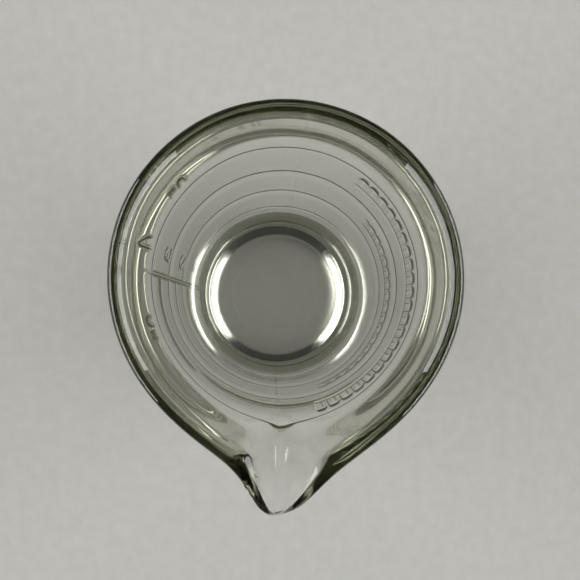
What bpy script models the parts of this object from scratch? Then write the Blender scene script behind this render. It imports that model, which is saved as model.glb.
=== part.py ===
"""Small pressed-glass measuring beaker: a tapered wall, a flared rim, a pouring spout and raised marks.

Lengths are millimetres and angles are degrees until a point becomes a vertex. An angle is measured
around the beaker's axis from the middle of the spout, which points along -Y, towards +X.
"""

import math

import bmesh
import bpy

MM = 0.001

# Glass: whole height, and how far the axis stands behind the middle of the outline seen from above
HEIGHT = 83.5
AXIS_Y = 5.2

# Inside: a dished floor, a wide rounded corner, a leaning wall and a flare
FLOOR_Z = 7.83
FLOOR_FLAT_RADIUS = 16.31
FLOOR_DISH = 2.52
FLOOR_DISH_CURVE = 2.65
CORNER_RADIUS = 22.98
CORNER_RISE = 6.23
CORNER_POWER_OUT = 1.88
CORNER_POWER_UP = 2.49
INNER_NECK_RADIUS = 25.08
INNER_NECK_Z = 71.5
INNER_FLARE_Z = 77.0
INNER_FLARE_CURVE = 1.0
CORNER_TOP_Z = FLOOR_Z + FLOOR_DISH + CORNER_RISE

# Outside: a leaning wall and a flare, a rounded foot, a bearing ring and a domed hollow under the floor
OUTER_FOOT_RADIUS = 25.2
OUTER_NECK_RADIUS = 28.19
OUTER_NECK_Z = 72.0
OUTER_FLARE_Z = 69.76
OUTER_FLARE_CURVE = 1.51
FOOT_ROUND_RADIUS = 0.8
FOOT_ROUND_RISE = 3.88
FOOT_ROUND_POWER = 2.16
RECESS_RADIUS = 22.8
RECESS_SLOPE = 9.89
RECESS_DEPTH = 5.6
RECESS_CURVE = 1.5
RECESS_CROWN = 0.3

# Rim: a bead that leans out over the wall
RIM_INNER_RADIUS = 27.3
RIM_OUTER_RADIUS = 30.5
RIM_INNER_DROP = 1.89
RIM_OUTER_DROP = 1.07
CROWN_PLACE = 0.4
LIP_NOTCH = 1.6
LIP_NOTCH_WIDTH = 4.0

# Spout: a shallow shoulder low down, then a channel that leans out from a hinge line up to the lip
SHOULDER_REACH = 1.6
SHOULDER_WIDTH = 34.0
SHOULDER_SPAN = (60.0, 75.0)
CHANNEL_REACH_INNER = 10.8
CHANNEL_REACH_OUTER = 8.9
CHANNEL_HINGE_INNER = 74.0
CHANNEL_HINGE_OUTER = 70.5
HINGE_SOFTNESS = 1.2
LIP_MIDDLE_INNER = -1.4
LIP_MIDDLE_OUTER = -2.0
LIP_WIDTH_INNER = (4.2, 6.8)
LIP_WIDTH_OUTER = (8.1, 12.2)
LIP_FADE_INNER = 1.9
LIP_FADE_OUTER = 2.35

# Points: where the rows draw together, rows in the hollow, and columns close together over the spout
CHANNEL_LOW_Z = 60.0
RECESS_STEPS = 8
SPOUT_SPAN = 40.0
SPOUT_STEP = 2.5
WALL_STEP = 7.0

# Measure: the top ring holds four US fluid ounces
OUNCE = 29.5735
OUNCES = 4
TOP_RING_Z = 69.4

# Raised marks on the outer wall
MARK_GAP = 0.1
MARK_RELIEF = 0.35
RING_WIDTH = 0.8
DIVIDER_ANGLE = -91.6
DIVIDER_WIDTH = 1.2
DIVIDER_TOP_Z = 72.0
DIVIDER_FOOT_Z = 10.0
HALF_ARC_END = -42.0
MARK_SPACE = 0.3
NUMERAL_ANGLE = -102.6
NUMERAL_STROKE = 0.95
NUMERAL_RISE = 1.2
NUMERALS = {
    1: (".#.", ".#.", ".#.", ".#.", ".#."),
    2: ("###", "..#", "###", "#..", "###"),
    3: ("###", "..#", "###", "..#", "###"),
    4: ("#.#", "#.#", "###", "..#", "..#"),
}
UNIT_MARK_ANGLES = {"unit_mark_left": -128.4, "unit_mark_right": -68.4}
UNIT_MARK = ("#.#", "###", "#.#")
BAND_STEP = 1.25
BAND_LINE = 0.5
BAND_HEIGHT = 4.6
FRAME = ("####.", "#..#.", "#####")
BANDS = {"frame_band_upper": (61.6, 15.0, 146.0), "frame_band_lower": (43.2, 21.0, 130.0)}

GLASS_TINT = (0.86, 0.9, 0.84, 1.0)
MARK_TINT = (0.7, 0.76, 0.68, 1.0)
GLASS_ROUGHNESS = 0.03
GLASS_IOR = 1.52


def clear_scene():
    for obj in list(bpy.data.objects):
        bpy.data.objects.remove(obj)


def blend(start, end, share):
    return start + (end - start) * share


def smooth(share):
    """Eases from 0 to 1 as the share does."""
    share = min(max(share, 0.0), 1.0)
    return share * share * (3 - 2 * share)


def glass_material(name, tint):
    material = bpy.data.materials.new(name)
    material.use_nodes = True
    shader = material.node_tree.nodes["Principled BSDF"]
    shader.inputs["Base Color"].default_value = tint
    shader.inputs["Roughness"].default_value = GLASS_ROUGHNESS
    shader.inputs["Metallic"].default_value = 0.0
    shader.inputs["IOR"].default_value = GLASS_IOR
    shader.inputs["Transmission Weight"].default_value = 1.0
    material.diffuse_color = tint
    return material


def wrapped(angle):
    return (angle + 180.0) % 360.0 - 180.0


def lip_z(angle):
    """Height of the top of the rim, which dips where the spout pours."""
    return HEIGHT - LIP_NOTCH * math.exp(-((wrapped(angle) / LIP_NOTCH_WIDTH) ** 2))


def hinge_growth(z, hinge_z, top_z):
    """Nothing below the hinge, then an even rise to 1 at the top, with a soft bend between them."""
    def lean(height):
        return height - hinge_z + math.hypot(height - hinge_z, HINGE_SOFTNESS)

    return lean(z) / lean(top_z)


def lip_share(angle, middle, widths, fade):
    """1 in the middle of the spout, falling to nothing round the back of the beaker."""
    turn = wrapped(angle - middle)
    width = widths[1] if turn > 0 else widths[0]
    return 1.0 / (1.0 + (abs(turn) / width) ** fade)


def shoulder(angle, z):
    start, end = SHOULDER_SPAN
    around = math.exp(-((wrapped(angle) / SHOULDER_WIDTH) ** 2))
    return SHOULDER_REACH * around * smooth((z - start) / (end - start))


def flare(z, start_z, top_z, curve):
    return max(0.0, (z - start_z) / (top_z - start_z)) ** curve


def plain_inner_radius(z):
    lean = (INNER_NECK_RADIUS - CORNER_RADIUS) / (INNER_NECK_Z - CORNER_TOP_Z)
    return CORNER_RADIUS + lean * (z - CORNER_TOP_Z)


def plain_outer_radius(z):
    return blend(OUTER_FOOT_RADIUS, OUTER_NECK_RADIUS, z / OUTER_NECK_Z)


def inner_radius(angle, z):
    top_z = lip_z(angle) - RIM_INNER_DROP
    opening = RIM_INNER_RADIUS - plain_inner_radius(top_z)
    opening *= flare(z, INNER_FLARE_Z, top_z, INNER_FLARE_CURVE)
    channel = CHANNEL_REACH_INNER * hinge_growth(z, CHANNEL_HINGE_INNER, top_z)
    channel *= lip_share(angle, LIP_MIDDLE_INNER, LIP_WIDTH_INNER, LIP_FADE_INNER)
    return plain_inner_radius(z) + opening + shoulder(angle, z) + channel


def outer_radius(angle, z):
    top_z = lip_z(angle) - RIM_OUTER_DROP
    opening = RIM_OUTER_RADIUS - plain_outer_radius(top_z)
    opening *= flare(z, OUTER_FLARE_Z, top_z, OUTER_FLARE_CURVE)
    channel = CHANNEL_REACH_OUTER * hinge_growth(z, CHANNEL_HINGE_OUTER, top_z)
    channel *= lip_share(angle, LIP_MIDDLE_OUTER, LIP_WIDTH_OUTER, LIP_FADE_OUTER)
    return plain_outer_radius(z) + opening + shoulder(angle, z) + channel


def point(angle, radius, z):
    turn = math.radians(angle)
    return (radius * math.sin(turn) * MM, (AXIS_Y - radius * math.cos(turn)) * MM, z * MM)


def column_angles():
    """Angles of the columns of points, from one side of the spout round to the other."""
    over_spout = int(2 * SPOUT_SPAN / SPOUT_STEP)
    round_back = int((360.0 - 2 * SPOUT_SPAN) / WALL_STEP)
    angles = [-SPOUT_SPAN + SPOUT_STEP * i for i in range(over_spout)]
    return angles + [SPOUT_SPAN + WALL_STEP * i for i in range(round_back)]


def enclosed_volume(z):
    """Cubic millimetres inside the plain inner wall, carried straight down to the floor, below this height."""
    steps = 200
    thickness = (z - FLOOR_Z) / steps
    middles = [FLOOR_Z + thickness * (i + 0.5) for i in range(steps)]
    return sum(math.pi * plain_inner_radius(middle) ** 2 * thickness for middle in middles)


def mark_height(ounces):
    """Height of the mark that shows this many ounces, measured down from the top ring."""
    wanted = enclosed_volume(TOP_RING_Z) - (OUNCES - ounces) * OUNCE * 1000.0
    low, high = FLOOR_Z, TOP_RING_Z
    for _ in range(40):
        middle = (low + high) / 2
        low, high = (middle, high) if enclosed_volume(middle) < wanted else (low, middle)
    return (low + high) / 2


def floor_section():
    """Dished floor and its rounded corner, from near the axis out to the wall."""
    section = [(FLOOR_FLAT_RADIUS * i / 4, FLOOR_Z + FLOOR_DISH * (i / 4) ** FLOOR_DISH_CURVE) for i in range(1, 5)]
    for i in range(1, 8):
        turn = math.pi / 2 * i / 7
        out = math.sin(turn) ** (2.0 / CORNER_POWER_OUT)
        down = max(0.0, math.cos(turn)) ** (2.0 / CORNER_POWER_UP)
        section.append((blend(FLOOR_FLAT_RADIUS, CORNER_RADIUS, out), CORNER_TOP_Z - CORNER_RISE * down))
    return section


def inner_heights(top_z):
    steps = 8
    low = [blend(CORNER_TOP_Z, CHANNEL_LOW_Z, i / 4) for i in range(1, 4)]
    return low + [blend(CHANNEL_LOW_Z, top_z, i / steps) for i in range(steps + 1)]


def outer_heights(top_z):
    """Heights of the outer rows from the rim down, with a row at each edge of every ring."""
    steps = 7
    upper = [blend(top_z, TOP_RING_Z + RING_WIDTH, i / steps) for i in range(steps + 1)]
    rings = [mark_height(n) + side * RING_WIDTH / 2 for n in range(1, OUNCES + 1) for side in (-1, 1)]
    return upper + sorted(rings + [CHANNEL_LOW_Z, TOP_RING_Z - 4.0, FOOT_ROUND_RISE], reverse=True)


def rim_section(angle):
    """Rounded top of the rim, from its inner edge over its crown to its outer edge."""
    top_z = lip_z(angle)
    inner_z, outer_z = top_z - RIM_INNER_DROP, top_z - RIM_OUTER_DROP
    inner, outer = inner_radius(angle, inner_z), outer_radius(angle, outer_z)
    crown = blend(inner, outer, CROWN_PLACE)
    turns = [math.pi / 2 * i / 4 for i in range(1, 5)]
    section = [(crown - (crown - inner) * math.cos(t), inner_z + RIM_INNER_DROP * math.sin(t)) for t in turns]
    return section + [(crown + (outer - crown) * math.sin(t), outer_z + RIM_OUTER_DROP * math.cos(t))
                      for t in turns[:3]]


def foot_section():
    """Rounded foot, the narrow bearing ring, and the domed hollow inside it, in towards the axis."""
    edge = plain_outer_radius(FOOT_ROUND_RISE)
    power = 2.0 / FOOT_ROUND_POWER
    section = []
    for i in range(1, 5):
        turn = math.pi / 2 * i / 4
        section.append((edge - FOOT_ROUND_RADIUS * (1.0 - max(0.0, math.cos(turn)) ** power),
                        FOOT_ROUND_RISE * (1.0 - math.sin(turn) ** power)))
    for i in range(RECESS_STEPS + 1):
        share = i / RECESS_STEPS
        section.append((RECESS_RADIUS - RECESS_SLOPE * share,
                        RECESS_DEPTH * (1.0 - (1.0 - share) ** RECESS_CURVE)))
    return section


def vessel_section(angle):
    section = floor_section()
    section += [(inner_radius(angle, z), z) for z in inner_heights(lip_z(angle) - RIM_INNER_DROP)]
    section += rim_section(angle)
    section += [(outer_radius(angle, z), z) for z in outer_heights(lip_z(angle) - RIM_OUTER_DROP)]
    return section + foot_section()


def finish_object(name, mesh_builder, material):
    """Turns the bmesh into a named object with smooth faces that point outwards."""
    bmesh.ops.recalc_face_normals(mesh_builder, faces=mesh_builder.faces)
    mesh = bpy.data.meshes.new(name)
    mesh_builder.to_mesh(mesh)
    mesh_builder.free()
    mesh.shade_smooth()
    mesh.set_sharp_from_angle(angle=math.radians(40.0))
    mesh.materials.append(material)
    obj = bpy.data.objects.new(name, mesh)
    bpy.context.scene.collection.objects.link(obj)
    return obj


def build_vessel(material):
    """Joins the sections round the axis into one closed skin, with a fan at the floor and at the foot."""
    shape = bmesh.new()
    columns = [[shape.verts.new(point(angle, r, z)) for r, z in vessel_section(angle)]
               for angle in column_angles()]
    floor_middle = shape.verts.new(point(0.0, 0.0, FLOOR_Z))
    foot_middle = shape.verts.new(point(0.0, 0.0, RECESS_DEPTH + RECESS_CROWN))
    for here, following in zip(columns, columns[1:] + columns[:1]):
        for row in range(len(here) - 1):
            shape.faces.new((here[row], here[row + 1], following[row + 1], following[row]))
        shape.faces.new((floor_middle, here[0], following[0]))
        shape.faces.new((foot_middle, following[-1], here[-1]))
    return finish_object("glass_vessel", shape, material)


def build_mark(name, angles, heights, cells, material):
    """A raised mark wrapped on the outer wall: one block for each (column, row) cell of a grid."""
    shape = bmesh.new()
    corners = {}

    def corner(column, row, layer):
        key = (column, row, layer)
        if key not in corners:
            radius = outer_radius(angles[column], heights[row]) + MARK_GAP + layer * MARK_RELIEF
            corners[key] = shape.verts.new(point(angles[column], radius, heights[row]))
        return corners[key]

    for column, row in sorted(cells):
        around = ((column, row), (column + 1, row), (column + 1, row + 1), (column, row + 1))
        beyond = ((column, row - 1), (column + 1, row), (column, row + 1), (column - 1, row))
        for layer in (0, 1):
            shape.faces.new([corner(*place, layer) for place in around])
        for start, end, neighbour in zip(around, around[1:] + around[:1], beyond):
            if neighbour not in cells:
                shape.faces.new((corner(*start, 0), corner(*end, 0), corner(*end, 1), corner(*start, 1)))
    return finish_object(name, shape, material)


def arc_degrees(length, z):
    return math.degrees(length / outer_radius(180.0, z))


def columns_between(start, end):
    """The shared columns strictly between two angles, with the two ends added."""
    shared = [a + turn for turn in (-720.0, -360.0, 0.0) for a in column_angles()]
    inside = sorted(a for a in shared if start + 1.0 < a < end - 1.0)
    return [start] + inside + [end]


def build_ring(name, z, start, end, material):
    angles = columns_between(start, end)
    heights = [z - RING_WIDTH / 2, z + RING_WIDTH / 2]
    return build_mark(name, angles, heights, {(i, 0) for i in range(len(angles) - 1)}, material)


def build_rings(material):
    """Whole rings at each ounce, which stop on both sides of the divider, and short arcs at each half."""
    for ounces in range(1, OUNCES + 1):
        z = mark_height(ounces)
        clear = arc_degrees(DIVIDER_WIDTH / 2 + MARK_SPACE, z)
        build_ring(f"ounce_ring_{ounces}", z, DIVIDER_ANGLE + clear - 360.0, DIVIDER_ANGLE - clear, material)
        half_z = mark_height(ounces - 0.5)
        build_ring(f"half_ounce_arc_{ounces}", half_z, DIVIDER_ANGLE + clear, HALF_ARC_END, material)


def build_divider(material):
    half = arc_degrees(DIVIDER_WIDTH / 2, TOP_RING_Z)
    angles = [DIVIDER_ANGLE - half, DIVIDER_ANGLE + half]
    return build_mark("divider_rib", angles, [DIVIDER_FOOT_Z, DIVIDER_TOP_Z], {(0, 0)}, material)


def build_block_sign(name, sign, angle, foot_z, material):
    """A small sign made of square blocks, upright to a reader outside the beaker."""
    step = arc_degrees(NUMERAL_STROKE, foot_z)
    angles = [angle + step * (i - len(sign[0]) / 2) for i in range(len(sign[0]) + 1)]
    heights = [foot_z + NUMERAL_STROKE * i for i in range(len(sign) + 1)]
    cells = {(column, len(sign) - 1 - line) for line, text in enumerate(sign)
             for column, mark in enumerate(text) if mark == "#"}
    return build_mark(name, angles, heights, cells, material)


def build_signs(material):
    for ounces, sign in NUMERALS.items():
        foot_z = mark_height(ounces) + RING_WIDTH / 2 + NUMERAL_RISE
        foot_z = min(foot_z, DIVIDER_TOP_Z - NUMERAL_STROKE)
        build_block_sign(f"numeral_{ounces}", sign, NUMERAL_ANGLE, foot_z, material)
    for name, angle in UNIT_MARK_ANGLES.items():
        build_block_sign(name, UNIT_MARK, angle, TOP_RING_Z + RING_WIDTH / 2 + NUMERAL_RISE, material)


def build_bands(material):
    """Plain scales: a thin rail that carries a row of small open frames."""
    for name, (foot_z, start, end) in BANDS.items():
        count = int((end - start) / BAND_STEP)
        angles = [start + BAND_STEP * i for i in range(count + 1)]
        heights = [foot_z + level + side * BAND_LINE / 2 for level in (0.0, BAND_HEIGHT) for side in (-1, 1)]
        cells = {(i, len(FRAME) - 1 - line) for line, text in enumerate(FRAME)
                 for i in range(count) if text[i % len(text)] == "#"}
        build_mark(name, angles, heights, cells, material)


def main():
    clear_scene()
    glass = glass_material("clear_glass", GLASS_TINT)
    mark_glass = glass_material("mark_glass", MARK_TINT)
    build_vessel(glass)
    build_rings(mark_glass)
    build_divider(mark_glass)
    build_signs(mark_glass)
    build_bands(mark_glass)


main()
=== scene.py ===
"""Looks of a small pressed-glass measuring beaker with a pouring spout.

One closed skin of glass stands for all the CAD nodes, because the real wall, rim, spout and raised
marks are one piece of glass and light has to pass between them with no seam. Lengths are millimetres
and angles are degrees until a point becomes a vertex, and the lengths of the paper and the lights are
metres. An angle is measured around the beaker's axis from the middle of the spout, which points along
-Y, towards +X.
"""

import math

import bpy
import numpy as np
from mathutils import Euler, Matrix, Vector


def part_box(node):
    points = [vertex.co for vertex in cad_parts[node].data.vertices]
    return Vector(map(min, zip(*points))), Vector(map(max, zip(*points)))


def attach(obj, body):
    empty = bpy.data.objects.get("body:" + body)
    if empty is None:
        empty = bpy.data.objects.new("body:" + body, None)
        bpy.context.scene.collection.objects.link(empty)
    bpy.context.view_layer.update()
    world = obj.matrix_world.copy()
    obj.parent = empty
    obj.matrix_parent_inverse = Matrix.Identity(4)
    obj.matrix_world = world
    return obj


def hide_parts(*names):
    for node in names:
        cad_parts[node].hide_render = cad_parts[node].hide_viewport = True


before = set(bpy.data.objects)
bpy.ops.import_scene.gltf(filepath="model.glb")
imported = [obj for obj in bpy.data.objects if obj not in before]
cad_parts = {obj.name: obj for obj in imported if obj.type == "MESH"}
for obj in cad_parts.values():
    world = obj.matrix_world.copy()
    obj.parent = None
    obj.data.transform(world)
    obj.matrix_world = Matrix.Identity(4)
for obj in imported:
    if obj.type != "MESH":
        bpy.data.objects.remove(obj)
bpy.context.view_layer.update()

MM = 0.001

# Sizes that the CAD model gives. The origin is the middle of the whole outline, and the spout reaches out
# on one side only, so the axis of the round wall lies behind it
CAD_LOW, CAD_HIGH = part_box("glass_vessel")
HEIGHT = CAD_HIGH[2] / MM
RIM_RADIUS = CAD_HIGH[0] / MM
AXIS_Y = CAD_HIGH[1] / MM - RIM_RADIUS
TIP_REACH = AXIS_Y - CAD_LOW[1] / MM

# Inside of the glass: a dished floor, a wide rounded corner, a leaning wall and a flare
FLOOR_Z = 7.83
FLOOR_FLAT_RADIUS = 16.31
FLOOR_DISH = 2.52
FLOOR_DISH_CURVE = 2.65
CORNER_RADIUS = 22.98
CORNER_RISE = 6.23
CORNER_POWER_OUT = 1.88
CORNER_POWER_UP = 2.49
INNER_NECK_RADIUS = 25.08
INNER_NECK_Z = 71.5
INNER_FLARE_Z = 77.0
INNER_FLARE_CURVE = 1.0
CORNER_TOP_Z = FLOOR_Z + FLOOR_DISH + CORNER_RISE

# Outside of the glass: a leaning wall and a flare, a rounded foot, and a domed hollow under the floor. The
# hollow has a steep edge and a low crown, and its middle lies a little towards -X
OUTER_FOOT_RADIUS = 25.2
OUTER_NECK_RADIUS = 28.19
OUTER_NECK_Z = 72.0
OUTER_FLARE_Z = 69.76
OUTER_FLARE_CURVE = 1.51
FOOT_ROUND_RADIUS = 0.8
FOOT_ROUND_RISE = 3.88
FOOT_ROUND_POWER = 2.16
RECESS_RADIUS = 22.8
RECESS_SLOPE = 9.89
RECESS_DEPTH = 5.6
RECESS_CURVE = 1.5
RECESS_CROWN = 0.3
RECESS_SHIFT = -0.7

# Rim bead: the drop from its crown to each edge, where the crown lies between them, and how full its two
# shoulders are, as shares of the drop and of the way from the crown to the edge. The inner shoulder leans as
# the wall does over the last step below it, and stays a least gap short of the crown
RIM_INNER_RADIUS = 27.3
RIM_INNER_DROP = 1.89
RIM_OUTER_DROP = 1.07
CROWN_PLACE = 0.52
BEAD_INNER_RISE = 0.35
BEAD_OUTER_RISE = 0.5
BEAD_INNER_FLAT = 0.16
BEAD_OUTER_FLAT = 0.5
BEAD_LEAST_GAP = 0.05
LEAN_STEP = 0.2

# Dip of the lip at the middle of the spout
LIP_NOTCH = 1.6
LIP_NOTCH_WIDTH = 4.0

# Spout: a shallow shoulder low down, then a channel that leans out from a hinge line up to the lip. A pair
# of widths is the one towards -X and the one towards +X, a fade is how sharply the flanks fall away, and
# the lip's softness is the angle over which the bottom of the channel is rounded
SHOULDER_REACH = 1.6
SHOULDER_WIDTH = 34.0
SHOULDER_SPAN = (60.0, 75.0)
CHANNEL_REACH_INNER = 10.8
CHANNEL_REACH_OUTER = TIP_REACH - RIM_RADIUS - SHOULDER_REACH
CHANNEL_HINGE_INNER = 74.0
CHANNEL_HINGE_OUTER = 70.5
HINGE_SOFTNESS = 1.2
LIP_MIDDLE_INNER = -1.4
LIP_MIDDLE_OUTER = -2.0
LIP_WIDTH_INNER = (4.2, 6.8)
LIP_WIDTH_OUTER = (8.1, 12.2)
LIP_FADE_INNER = 1.9
LIP_FADE_OUTER = 2.35
LIP_SOFTNESS = 1.5

# A lumpy patch on the lip: (middle, half width) of its angles, its foot, the height over which it grows,
# and its depth
ROUGH_LIP_ANGLES = (-8.5, 3.0)
ROUGH_LIP_FOOT = 76.0
ROUGH_LIP_GROWTH = 2.0
ROUGH_LIP_RELIEF = 0.16

# Unevenness of the wall, which grows over this span of heights. A wave is (its size, how many go round,
# its twist in radians for each millimetre of height, where it starts in radians)
WAVE_SPAN = (12.0, 24.0)
WAVES = ((0.05, 2, 0.0, 0.7), (0.03, 3, 0.05, 0.0), (0.015, 7, 0.11, 0.0), (0.01, 11, -0.17, 1.0))

# How many rows of points each stretch of the skin has. The bead has its rows on each side of the crown,
# the inner flare's rows start at the low height, and the outer flare's rows end at the top height
FLOOR_ROWS = 8
CORNER_ROWS = 16
INNER_WALL_ROWS = 7
INNER_FLARE_ROWS = 20
BEAD_ROWS = 9
OUTER_FLARE_ROWS = 10
FOOT_ROWS = 10
RECESS_ROWS = 16
FLARE_LOW_Z = 58.0
FLARE_TOP_Z = 76.5

# Rows of the outer wall: across a ring, as shares of its half width, across each edge of a band, over each
# numeral, and evenly between them
RING_ROW_SHARES = (-1.0, -0.67, -0.33, 0.0, 0.33, 0.67, 1.0)
BAND_ROW_OFFSETS = (-0.36, 0.0, 0.36)
NUMERAL_ROW_MARGINS = (0.4, 0.8)
NUMERAL_ROW_STEP = 0.75
WALL_ROW_START = 1.5
WALL_ROW_STEP = 4.0
LEAST_ROW_GAP = 0.2

# Measure: a fluid ounce in cubic millimetres, how many the scale counts, and the height of its top ring
OUNCE = 29573.5
OUNCES = 4
TOP_RING_Z = 69.4
MEASURE_STEPS = 4000

# Rings and half-ounce arcs; an arc starts at the divider, and its fades are the angles of its two ends
RING_RELIEF = 0.12
RING_HALF_WIDTH = 0.6
HALF_ARC_SHARE = 0.8
HALF_ARC_END = -42.0
HALF_ARC_FADES = (1.0, 4.0)

# Upright marks: the divider beside the scale and the two seams of the mould. Each has the same angle of
# width all the way up, and its half width is true at the height given
DIVIDER_RELIEF = 0.22
DIVIDER_ANGLE = -91.6
DIVIDER_HALF_WIDTH = 0.45
DIVIDER_WIDTH_Z = 40.0
DIVIDER_SPAN = (8.0, 73.0)
DIVIDER_FADES = (1.0, 1.5)
SEAM_RELIEF = 0.04
SEAM_ANGLES = (-1.5, 173.6)
SEAM_HALF_WIDTH = 0.2
SEAM_WIDTH_Z = 70.0

# Signs: the numerals, and a ring of (place, radius) beside upright bars
SIGN_RELIEF = 0.3
NUMERAL_ANGLE = -102.6
NUMERAL_SIZE = (3.0, 4.8)
NUMERAL_STROKE = 0.32
NUMERAL_RISE = 1.5
UNIT_ANGLES = (-128.4, -68.4)
UNIT_RISE = 3.2
UNIT_RING = (-1.3, 0.9)
UNIT_BARS = (0.9, 2.0)
UNIT_BAR_HALF_HEIGHT = 1.0
UNIT_STROKE = 0.3

# Bands of open frames: a band is (foot, first angle, last angle). The sides run past the rail and the top,
# and the top runs past the sides
BAND_RELIEF = 0.16
BANDS = ((61.6, 15.0, 146.0), (43.2, 21.0, 130.0))
BAND_HEIGHT = 4.6
BAND_FADE = 1.5
FRAME_PITCH = 6.25
FRAME_SIDES = (0.6, 4.4)
FRAME_LINE = 0.24
SIDE_OVERRUN = 0.2
SIDE_FADE = 0.4
TOP_OVERRUN = 0.4
TOP_FADE = 0.5

# Glass: its own colour and how strongly it takes up light for each metre, and a soft finish below a height
GLASS_CLEAR = (1.0, 1.0, 1.0, 1.0)
GLASS_IOR = 1.52
GLASS_TINT = (0.485, 0.505, 0.34, 1.0)
GLASS_DENSITY = 60.0
UNDERSIDE_Z = 6.2
UNDERSIDE_FADE = 0.3
UNDERSIDE_ROUGHNESS = 0.17

# Paper under the beaker, just clear of it, in metres
PAPER_HALF_SIZE = 1.6
PAPER_DROP = 0.00004
PAPER_ROUGHNESS = 0.9
PAPER_GRAIN = 260.0
PAPER_GRAIN_DETAIL = 4.0
PAPER_DARK = (0.585, 0.578, 0.545, 1.0)
PAPER_LIGHT = (0.625, 0.617, 0.585, 1.0)
PAPER_TONES = (0.3, 0.7)

# Studio in metres: a wide window on each side, of a dim lower pane and a bright upper one, in a dim room.
# A pane is (foot, top, width, radiance). Two overhead lamps light the paper, and the glass neither mirrors
# nor bends them. The glass casts a shadow from the first and lets all of the second through
WINDOW_PLACE = (0.99, -0.08)
WINDOW_PANES = ((0.0, 0.24, 1.2, 0.8), (0.24, 0.62, 1.6, 6.0))
LAMP_PLACE = (0.0, 0.25, 1.3)
LAMP_SIZE = 1.0
LAMP_RADIANCE_DIRECT = 0.6
LAMP_RADIANCE_THROUGH = 0.95
LIGHT_COLOR = (1.0, 1.0, 0.985)
ROOM_COLOR = (1.0, 1.0, 0.96, 1.0)
ROOM_STRENGTH = 0.04
MOST_BOUNCES = 32

# Camera: its place, lens and sensor in millimetres, its turn in degrees, and its nearest sight in metres
CAMERA_PLACE = (-3.53, -2.45, 181.66)
CAMERA_TURN = (2.808, -2.363, 1.292)
CAMERA_LENS = 36.06
CAMERA_SENSOR = 36.0
CAMERA_NEAREST = 0.001


def blend(start, end, share):
    return start + (end - start) * share


def smooth(share):
    share = np.clip(share, 0.0, 1.0)
    return share * share * (3.0 - 2.0 * share)


def wrapped(angle):
    """The same angle between -180 and 180 degrees."""
    return (np.asarray(angle) + 180.0) % 360.0 - 180.0


# ---------------------------------------------------------------- measure


def wall_lean():
    return (INNER_NECK_RADIUS - CORNER_RADIUS) / (INNER_NECK_Z - CORNER_TOP_Z)


def plain_inner_radius(z):
    return CORNER_RADIUS + wall_lean() * (z - CORNER_TOP_Z)


def mark_height(ounces):
    """Height of a mark, from the volume of the plain cone between it and the top ring."""
    heights = np.linspace(TOP_RING_Z, FLOOR_Z, MEASURE_STEPS)
    radii = plain_inner_radius(heights)
    volume = np.concatenate([[0.0], np.cumsum(math.pi * radii[1:] ** 2 * -np.diff(heights))])
    return float(np.interp((OUNCES - ounces) * OUNCE, volume, heights))


RING_HEIGHTS = [mark_height(n) for n in range(1, OUNCES + 1)]
HALF_HEIGHTS = [mark_height(n - 0.5) for n in range(1, OUNCES + 1)]


# ---------------------------------------------------------------- the two walls


def side_width(angle, widths):
    return np.where(wrapped(angle) > 0.0, widths[1], widths[0])


def lip_z(angle):
    return HEIGHT - LIP_NOTCH * np.exp(-((wrapped(angle) / LIP_NOTCH_WIDTH) ** 2))


def hinge_growth(z, hinge_z, top_z):
    """Nothing below the hinge, then an even rise to 1 at the top, with a soft bend between them."""
    def lean(height):
        return height - hinge_z + np.sqrt((height - hinge_z) ** 2 + HINGE_SOFTNESS**2)

    return lean(z) / lean(top_z)


def lip_share(angle, middle, widths, fade):
    """1 at the middle of the channel, and less and less towards its flanks."""
    turn = wrapped(angle - middle)
    width = side_width(turn, widths)
    return (1.0 + (LIP_SOFTNESS / width) ** fade) / (1.0 + (np.hypot(turn, LIP_SOFTNESS) / width) ** fade)


def shoulder(angle, z):
    start, end = SHOULDER_SPAN
    growth = smooth((z - start) / (end - start))
    return SHOULDER_REACH * np.exp(-((wrapped(angle) / SHOULDER_WIDTH) ** 2)) * growth


def flare(z, start_z, top_z, curve):
    """Nothing below the start, then a rise to 1 at the top."""
    return (np.clip(z - start_z, 0.0, None) / (top_z - start_z)) ** curve


def inner_radius(angle, z):
    top_z = lip_z(angle) - RIM_INNER_DROP
    wall = plain_inner_radius(z)
    growth = flare(z, INNER_FLARE_Z, top_z, INNER_FLARE_CURVE)
    opening = (RIM_INNER_RADIUS - plain_inner_radius(top_z)) * growth
    channel = hinge_growth(z, CHANNEL_HINGE_INNER, top_z)
    channel = channel * lip_share(angle, LIP_MIDDLE_INNER, LIP_WIDTH_INNER, LIP_FADE_INNER)
    return wall + opening + shoulder(angle, z) + CHANNEL_REACH_INNER * channel


def plain_outer_radius(z):
    return blend(OUTER_FOOT_RADIUS, OUTER_NECK_RADIUS, z / OUTER_NECK_Z)


def outer_radius(angle, z):
    top_z = lip_z(angle) - RIM_OUTER_DROP
    wall = plain_outer_radius(z)
    growth = flare(z, OUTER_FLARE_Z, top_z, OUTER_FLARE_CURVE)
    opening = (RIM_RADIUS - plain_outer_radius(top_z)) * growth
    channel = hinge_growth(z, CHANNEL_HINGE_OUTER, top_z)
    channel = channel * lip_share(angle, LIP_MIDDLE_OUTER, LIP_WIDTH_OUTER, LIP_FADE_OUTER)
    return wall + opening + shoulder(angle, z) + CHANNEL_REACH_OUTER * channel


# ---------------------------------------------------------------- raised marks


def ridge(distance, half_width):
    return np.exp(-((distance / half_width) ** 2))


def low_bead(distance, half_width):
    """A smooth bead that runs out into the wall at both edges."""
    return 0.5 + 0.5 * np.cos(np.pi * np.clip(np.abs(distance) / half_width, 0.0, 1.0))


def arc_points(middle, radii, start, end, count=9):
    turns = np.radians(np.linspace(start, end, count))
    return [(middle[0] + radii[0] * math.cos(t), middle[1] + radii[1] * math.sin(t)) for t in turns]


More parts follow.
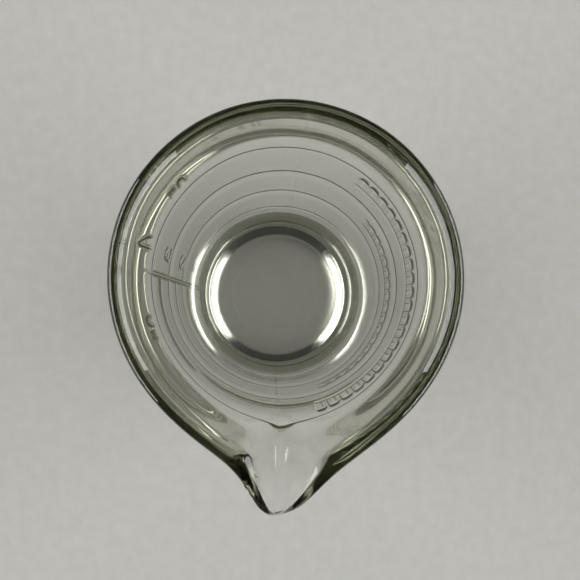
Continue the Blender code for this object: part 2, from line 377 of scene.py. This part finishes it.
def numeral_strokes(number):
    """Centre lines of a numeral in a box 1 wide and 1 high, with its foot at the origin."""
    if number == 1:
        return [[(-0.28, 0.76), (0.05, 1.0), (0.05, 0.0)]]
    if number == 2:
        return [arc_points((0.0, 0.7), (0.42, 0.3), 165, -35) + [(-0.45, 0.0), (0.48, 0.0)]]
    if number == 3:
        upper = arc_points((0.0, 0.75), (0.38, 0.25), 150, -90)
        lower = arc_points((0.0, 0.26), (0.45, 0.26), 90, -150)
        return [upper, lower]
    return [[(0.2, 0.0), (0.2, 1.0), (-0.5, 0.3), (0.5, 0.3)]]


def stroke_distance(u, v, points):
    """Distance from each (u, v) to a broken line."""
    nearest = np.full(np.shape(u), np.inf)
    for (u0, v0), (u1, v1) in zip(points, points[1:]):
        du, dv = u1 - u0, v1 - v0
        along = np.clip(((u - u0) * du + (v - v0) * dv) / (du * du + dv * dv), 0.0, 1.0)
        nearest = np.minimum(nearest, np.hypot(u - u0 - along * du, v - v0 - along * dv))
    return nearest


def arc_length(angle, origin, z):
    """Millimetres round the wall from one angle to another."""
    radius = plain_outer_radius(z)
    return np.radians(wrapped(angle - origin)) * radius


def relief_of_numerals(angle, z):
    relief = np.zeros(np.shape(z))
    width, height = NUMERAL_SIZE
    for number, ring_z in enumerate(RING_HEIGHTS, start=1):
        u = arc_length(angle, NUMERAL_ANGLE, ring_z)
        v = z - ring_z - NUMERAL_RISE
        for points in numeral_strokes(number):
            scaled = [(x * width, y * height) for x, y in points]
            relief = np.maximum(relief, ridge(stroke_distance(u, v, scaled), NUMERAL_STROKE))
    return relief


def relief_of_unit_marks(angle, z):
    """A small ring beside two short bars, as a generic sign."""
    relief = np.zeros(np.shape(z))
    ring_place, ring_radius = UNIT_RING
    for origin in UNIT_ANGLES:
        u = arc_length(angle, origin, TOP_RING_Z)
        v = z - TOP_RING_Z - UNIT_RISE
        relief = np.maximum(relief, ridge(np.hypot(u - ring_place, v) - ring_radius, UNIT_STROKE))
        for place in UNIT_BARS:
            bar = [(place, -UNIT_BAR_HALF_HEIGHT), (place, UNIT_BAR_HALF_HEIGHT)]
            relief = np.maximum(relief, ridge(stroke_distance(u, v, bar), UNIT_STROKE))
    return relief


def relief_of_bands(angle, z):
    """A thin rail that carries a row of small open frames."""
    relief = np.zeros(np.shape(z))
    to_mm = math.radians(1.0) * OUTER_NECK_RADIUS
    first, last = FRAME_SIDES
    for foot_z, start, end in BANDS:
        inside = smooth((angle - start) / BAND_FADE) * smooth((end - angle) / BAND_FADE)
        along = np.mod(angle - start, FRAME_PITCH)
        across = np.minimum(np.abs(along - first), np.abs(along - last)) * to_mm
        side = ridge(across, FRAME_LINE) * smooth((z - foot_z + SIDE_OVERRUN) / SIDE_FADE)
        side = side * smooth((foot_z + BAND_HEIGHT + SIDE_OVERRUN - z) / SIDE_FADE)
        over = smooth((along - first + TOP_OVERRUN) / TOP_FADE)
        over = over * smooth((last + TOP_OVERRUN - along) / TOP_FADE)
        top = ridge(z - foot_z - BAND_HEIGHT, FRAME_LINE) * over
        rail = ridge(z - foot_z, FRAME_LINE)
        relief = np.maximum(relief, inside * np.maximum(rail, np.maximum(side, top)))
    return relief


def relief_of_rings(angle, z):
    relief = np.zeros(np.shape(z))
    for ring_z in RING_HEIGHTS:
        relief = np.maximum(relief, low_bead(z - ring_z, RING_HALF_WIDTH))
    first_fade, last_fade = HALF_ARC_FADES
    inside = smooth((angle - DIVIDER_ANGLE) / first_fade) * smooth((HALF_ARC_END - angle) / last_fade)
    for half_z in HALF_HEIGHTS:
        relief = np.maximum(relief, HALF_ARC_SHARE * inside * low_bead(z - half_z, RING_HALF_WIDTH))
    return RING_RELIEF * relief


def relief_of_divider(angle, z):
    start, end = DIVIDER_SPAN
    foot_fade, top_fade = DIVIDER_FADES
    across = ridge(arc_length(angle, DIVIDER_ANGLE, DIVIDER_WIDTH_Z), DIVIDER_HALF_WIDTH)
    return across * smooth((z - start) / foot_fade) * smooth((end - z) / top_fade)


def relief_of_seams(angle, z):
    distances = [arc_length(angle, origin, SEAM_WIDTH_Z) for origin in SEAM_ANGLES]
    return sum(SEAM_RELIEF * ridge(distance, SEAM_HALF_WIDTH) for distance in distances)


def relief(angle, z):
    """All the marks together, as millimetres of radius."""
    signs = np.maximum(relief_of_numerals(angle, z), relief_of_unit_marks(angle, z))
    marks = np.maximum(SIGN_RELIEF * signs, BAND_RELIEF * relief_of_bands(angle, z))
    marks = np.maximum(marks, DIVIDER_RELIEF * relief_of_divider(angle, z))
    return np.maximum(marks, relief_of_rings(angle, z)) + relief_of_seams(angle, z)


# ---------------------------------------------------------------- grid of the skin


def spaced(start, end, step):
    """Even values from the start up to just before the end, about a step apart."""
    count = max(1, int(round(abs(end - start) / step)))
    return list(np.linspace(start, end, count, endpoint=False))


def column_angles():
    """Angles of the columns of points: close together over the spout and the raised marks."""
    stretches = (
        (-180.0, -136.0, 2.0), (-136.0, -120.0, 0.7), (-120.0, -110.0, 2.0), (-110.0, -88.0, 0.45),
        (-88.0, -76.0, 1.5), (-76.0, -60.0, 0.7), (-60.0, -44.0, 1.5), (-44.0, -16.0, 1.0),
        (-16.0, -2.4, 0.75), (-2.4, -0.6, 0.15), (-0.6, 14.0, 0.75), (14.0, 146.0, 0.66),
        (146.0, 172.0, 2.0), (172.0, 175.2, 0.32), (175.2, 180.0, 1.6),
    )
    return np.array([a for start, end, step in stretches for a in spaced(start, end, step)])


def floor_rows():
    """(radius, height) from near the axis, over the dished floor and up its rounded corner."""
    shares = [i / FLOOR_ROWS for i in range(1, FLOOR_ROWS + 1)]
    rows = [(FLOOR_FLAT_RADIUS * s, FLOOR_Z + FLOOR_DISH * s**FLOOR_DISH_CURVE) for s in shares]
    for i in range(1, CORNER_ROWS + 1):
        turn = math.pi / 2 * i / CORNER_ROWS
        rows.append((blend(FLOOR_FLAT_RADIUS, CORNER_RADIUS, math.sin(turn) ** (2.0 / CORNER_POWER_OUT)),
                     CORNER_TOP_Z - CORNER_RISE * math.cos(turn) ** (2.0 / CORNER_POWER_UP)))
    return rows


def foot_rows():
    """(radius, height) from the rounded foot, over the bearing ring and up into the hollow."""
    top = float(plain_outer_radius(FOOT_ROUND_RISE))
    power = 2.0 / FOOT_ROUND_POWER
    rows = []
    for i in range(1, FOOT_ROWS + 1):
        turn = math.pi / 2 * i / FOOT_ROWS
        rows.append((top - FOOT_ROUND_RADIUS * (1.0 - math.cos(turn) ** power),
                     FOOT_ROUND_RISE * (1.0 - math.sin(turn) ** power)))
    for i in range(0, RECESS_ROWS + 1):
        share = i / RECESS_ROWS
        rows.append((RECESS_RADIUS - RECESS_SLOPE * share,
                     RECESS_DEPTH * (1.0 - (1.0 - share) ** RECESS_CURVE)))
    half_way = 0.5
    rows.append(((RECESS_RADIUS - RECESS_SLOPE) * half_way,
                 RECESS_DEPTH + (1.0 - half_way**2) * RECESS_CROWN))
    return rows


def outer_wall_heights():
    """Heights of the outer rows below the flare: close together where a mark crosses the wall."""
    across = [RING_HALF_WIDTH * share for share in RING_ROW_SHARES]
    ordered = sorted(mark_z + v for mark_z in RING_HEIGHTS + HALF_HEIGHTS for v in across)
    edges = [(foot_z, end) for foot_z, _, _ in BANDS for end in (0.0, BAND_HEIGHT)]
    others = [foot_z + end + v for foot_z, end in edges for v in BAND_ROW_OFFSETS]
    below, above = NUMERAL_ROW_MARGINS
    over_numeral = np.arange(-below, NUMERAL_SIZE[1] + above, NUMERAL_ROW_STEP)
    others += [ring_z + NUMERAL_RISE + v for ring_z in RING_HEIGHTS for v in over_numeral]
    others += list(np.arange(FOOT_ROUND_RISE + WALL_ROW_START, FLARE_TOP_Z, WALL_ROW_STEP))
    for height in others:
        if min(abs(height - kept) for kept in ordered) > LEAST_ROW_GAP:
            ordered.append(height)
    return sorted((h for h in ordered if h < FLARE_TOP_Z), reverse=True)


def bezier(p0, p1, p2, p3, count):
    """Points on a cubic curve after its first point. Each is (radius, height) arrays over the columns."""
    rows = []
    for i in range(1, count + 1):
        t = i / count
        weights = ((1 - t) ** 3, 3 * (1 - t) ** 2 * t, 3 * (1 - t) * t * t, t**3)
        rows.append(tuple(sum(w * p[k] for w, p in zip(weights, (p0, p1, p2, p3))) for k in (0, 1)))
    return rows


def rim_rows(angle):
    """The rounded bead from the inner edge over the crown to the outer edge."""
    top_z = lip_z(angle)
    inner_z, outer_z = top_z - RIM_INNER_DROP, top_z - RIM_OUTER_DROP
    inner, outer = inner_radius(angle, inner_z), outer_radius(angle, outer_z)
    lean = (inner - inner_radius(angle, inner_z - LEAN_STEP)) / LEAN_STEP
    crown = blend(inner, outer, CROWN_PLACE)
    rise = RIM_INNER_DROP * BEAD_INNER_RISE
    edge = (np.minimum(inner + lean * rise, crown - BEAD_LEAST_GAP), inner_z + rise)
    flat = (blend(crown, inner, BEAD_INNER_FLAT), top_z)
    rows = bezier((inner, inner_z), edge, flat, (crown, top_z), BEAD_ROWS)
    flat = (blend(crown, outer, BEAD_OUTER_FLAT), top_z)
    edge = (outer, outer_z + RIM_OUTER_DROP * BEAD_OUTER_RISE)
    return rows + bezier((crown, top_z), flat, edge, (outer, outer_z), BEAD_ROWS)


def skin_rows(angle):
    """Every row of the skin, as (radius, height) arrays over the columns, from the floor to the hollow."""
    level = np.ones(len(angle))
    rows = [(r * level, z * level) for r, z in floor_rows()]
    for z in np.linspace(CORNER_TOP_Z, FLARE_LOW_Z, INNER_WALL_ROWS + 1)[1:]:
        rows.append((inner_radius(angle, z * level), z * level))
    rim_base = lip_z(angle) - RIM_INNER_DROP
    for share in np.linspace(0.0, 1.0, INNER_FLARE_ROWS + 1)[1:]:
        z = blend(FLARE_LOW_Z, rim_base, share)
        rows.append((inner_radius(angle, z), z))
    rows += rim_rows(angle)
    rim_base = lip_z(angle) - RIM_OUTER_DROP
    wall = outer_wall_heights()
    for share in np.linspace(0.0, 1.0, OUTER_FLARE_ROWS + 2)[1:-1]:
        z = blend(rim_base, wall[0] * level, share)
        rows.append((outer_radius(angle, z) + relief_of_seams(angle, z), z))
    for z in wall:
        rows.append((outer_radius(angle, z * level) + relief(angle, z * level), z * level))
    rows.append((outer_radius(angle, FOOT_ROUND_RISE * level), FOOT_ROUND_RISE * level))
    return rows + [(r * level, z * level) for r, z in foot_rows()]


def waviness(angle, z):
    """Slight unevenness of pressed glass, as millimetres of radius."""
    turn = np.radians(angle)
    return sum(size * np.sin(count * turn + z * twist + start) for size, count, twist, start in WAVES)


def rough_lip(angle, z):
    """A small lumpy patch on one flank of the spout, as millimetres of radius."""
    middle, half = ROUGH_LIP_ANGLES
    patch = np.exp(-(((angle - middle) / half) ** 4)) * smooth((z - ROUGH_LIP_FOOT) / ROUGH_LIP_GROWTH)
    coarse = np.sin(angle * 2.9 + z * 1.7) * np.sin(z * 3.1 - angle * 1.3)
    fine = 0.6 * np.sin(angle * 5.3 + z * 4.3)
    return ROUGH_LIP_RELIEF * patch * (coarse + fine)


def skin_points(angle):
    """(x, y, z) of every point, by row and column. The rows of the hollow are the last ones."""
    rows = skin_rows(angle)
    radius = np.array([r for r, _ in rows])
    height = np.array([z for _, z in rows])
    start, end = WAVE_SPAN
    upright = smooth((height - start) / (end - start))
    radius = radius + upright * waviness(angle[None, :], height) + rough_lip(angle[None, :], height)
    turn = np.radians(angle)[None, :]
    x = radius * np.sin(turn)
    x[-RECESS_ROWS - 2:] += RECESS_SHIFT
    y = AXIS_Y - radius * np.cos(turn)
    return np.stack([x, y, height], axis=2)


def skin_faces(count, columns):
    """Quads between the rows, then a fan round the middle of the floor and another in the hollow."""
    row, column = np.meshgrid(np.arange(count - 1), np.arange(columns), indexing="ij")
    beside = (column + 1) % columns
    quads = np.stack([row * columns + column, (row + 1) * columns + column,
                      (row + 1) * columns + beside, row * columns + beside], axis=2).reshape(-1, 4)
    floor_middle, hollow_middle = count * columns, count * columns + 1
    last = (count - 1) * columns
    fans = [(floor_middle, i, (i + 1) % columns) for i in range(columns)]
    fans += [(hollow_middle, last + (i + 1) % columns, last + i) for i in range(columns)]
    return quads.tolist() + fans


def build_glass():
    grid = skin_points(column_angles())
    count, columns, _ = grid.shape
    middles = [[0.0, AXIS_Y, FLOOR_Z], [RECESS_SHIFT, AXIS_Y, RECESS_DEPTH + RECESS_CROWN]]
    points = np.vstack([grid.reshape(-1, 3), middles]) * MM
    mesh = bpy.data.meshes.new("glass_skin")
    mesh.from_pydata(points.tolist(), [], skin_faces(count, columns))
    mesh.validate()
    mesh.shade_smooth()
    piece = bpy.data.objects.new("pressed_glass", mesh)
    bpy.context.scene.collection.objects.link(piece)
    return piece


# ---------------------------------------------------------------- materials


def soften_underside(nodes, links, shader):
    """Slight roughness low down, on the hollow, the foot and the wall beside it, and a polish above."""
    place = nodes.new("ShaderNodeTexCoord")
    axes = nodes.new("ShaderNodeSeparateXYZ")
    underside = nodes.new("ShaderNodeMapRange")
    underside.inputs["From Min"].default_value = UNDERSIDE_Z * MM
    underside.inputs["From Max"].default_value = (UNDERSIDE_Z + UNDERSIDE_FADE) * MM
    underside.inputs["To Min"].default_value = UNDERSIDE_ROUGHNESS
    underside.inputs["To Max"].default_value = 0.0
    links.new(place.outputs["Object"], axes.inputs["Vector"])
    links.new(axes.outputs["Z"], underside.inputs["Value"])
    links.new(underside.outputs["Result"], shader.inputs["Roughness"])


def glass_material():
    material = bpy.data.materials.new("grey_green_glass")
    material.use_nodes = True
    nodes, links = material.node_tree.nodes, material.node_tree.links
    shader = nodes["Principled BSDF"]
    shader.inputs["Base Color"].default_value = GLASS_CLEAR
    shader.inputs["IOR"].default_value = GLASS_IOR
    shader.inputs["Transmission Weight"].default_value = 1.0
    soften_underside(nodes, links, shader)
    absorption = nodes.new("ShaderNodeVolumeAbsorption")
    absorption.inputs["Color"].default_value = GLASS_TINT
    absorption.inputs["Density"].default_value = GLASS_DENSITY
    links.new(absorption.outputs["Volume"], nodes["Material Output"].inputs["Volume"])
    return material


def paper_material():
    material = bpy.data.materials.new("pale_paper")
    material.use_nodes = True
    nodes, links = material.node_tree.nodes, material.node_tree.links
    shader = nodes["Principled BSDF"]
    shader.inputs["Roughness"].default_value = PAPER_ROUGHNESS
    place = nodes.new("ShaderNodeTexCoord")
    mottle = nodes.new("ShaderNodeTexNoise")
    mottle.inputs["Scale"].default_value = PAPER_GRAIN
    mottle.inputs["Detail"].default_value = PAPER_GRAIN_DETAIL
    ramp = nodes.new("ShaderNodeValToRGB")
    dark, light = ramp.color_ramp.elements
    dark.position, light.position = PAPER_TONES
    dark.color = PAPER_DARK
    light.color = PAPER_LIGHT
    links.new(place.outputs["Object"], mottle.inputs["Vector"])
    links.new(mottle.outputs["Fac"], ramp.inputs["Fac"])
    links.new(ramp.outputs["Color"], shader.inputs["Base Color"])
    return material


# ---------------------------------------------------------------- stage


def add_floor():
    half = PAPER_HALF_SIZE
    mesh = bpy.data.meshes.new("paper_floor")
    mesh.from_pydata([(-half, -half, 0.0), (half, -half, 0.0), (half, half, 0.0), (-half, half, 0.0)],
                     [], [(0, 1, 2, 3)])
    floor = bpy.data.objects.new("paper_floor", mesh)
    floor.location.z = -PAPER_DROP
    bpy.context.scene.collection.objects.link(floor)
    floor.data.materials.append(paper_material())
    return floor


def add_sheet(name, place, size, radiance, facing):
    """A flat sheet of light that faces a direction."""
    light = bpy.data.lights.new(name, "AREA")
    light.shape = "RECTANGLE"
    light.size, light.size_y = size
    light.energy = radiance * math.pi * size[0] * size[1]
    light.color = LIGHT_COLOR
    lamp = bpy.data.objects.new(name, light)
    bpy.context.scene.collection.objects.link(lamp)
    lamp.location = place
    lamp.rotation_euler = Vector(facing).to_track_quat("-Z", "Y").to_euler()
    return lamp


def add_lamp(name, radiance):
    """An overhead lamp that the glass neither mirrors nor bends."""
    lamp = add_sheet(name, LAMP_PLACE, (LAMP_SIZE, LAMP_SIZE), radiance, (0.0, 0.0, -1.0))
    lamp.visible_glossy = False
    lamp.visible_transmission = False
    return lamp


def add_windows():
    across, along = WINDOW_PLACE
    for name, side in (("window_left", -1.0), ("window_right", 1.0)):
        for foot, top, width, radiance in WINDOW_PANES:
            place = (side * across, along, (foot + top) / 2)
            add_sheet(name, place, (width, top - foot), radiance, (-side, 0.0, 0.0))


def add_lights(floor):
    add_windows()
    add_lamp("overhead_direct", LAMP_RADIANCE_DIRECT)
    through_glass = add_lamp("overhead_through_glass", LAMP_RADIANCE_THROUGH)
    blockers = bpy.data.collections.new("opaque_things")
    blockers.objects.link(floor)
    through_glass.light_linking.blocker_collection = blockers
    world = bpy.data.worlds.new("room")
    world.use_nodes = True
    world.node_tree.nodes["Background"].inputs["Color"].default_value = ROOM_COLOR
    world.node_tree.nodes["Background"].inputs["Strength"].default_value = ROOM_STRENGTH
    bpy.context.scene.world = world


def add_camera():
    data = bpy.data.cameras.new("camera")
    data.sensor_width = CAMERA_SENSOR
    data.lens = CAMERA_LENS
    data.clip_start = CAMERA_NEAREST
    camera = bpy.data.objects.new("camera", data)
    camera.location = Vector(CAMERA_PLACE) * MM
    camera.rotation_euler = Euler([math.radians(a) for a in CAMERA_TURN], "XYZ")
    bpy.context.scene.collection.objects.link(camera)
    bpy.context.scene.camera = camera
    bpy.context.scene.view_settings.view_transform = "Standard"


def add_light_paths():
    """Enough bounces for light that is caught between the two walls to come out again."""
    paths = bpy.context.scene.cycles
    paths.max_bounces = MOST_BOUNCES
    paths.transmission_bounces = MOST_BOUNCES
    paths.glossy_bounces = MOST_BOUNCES


add_camera()
add_light_paths()
paper = add_floor()
add_lights(paper)
glass = build_glass()
glass.data.materials.append(glass_material())
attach(glass, "root")
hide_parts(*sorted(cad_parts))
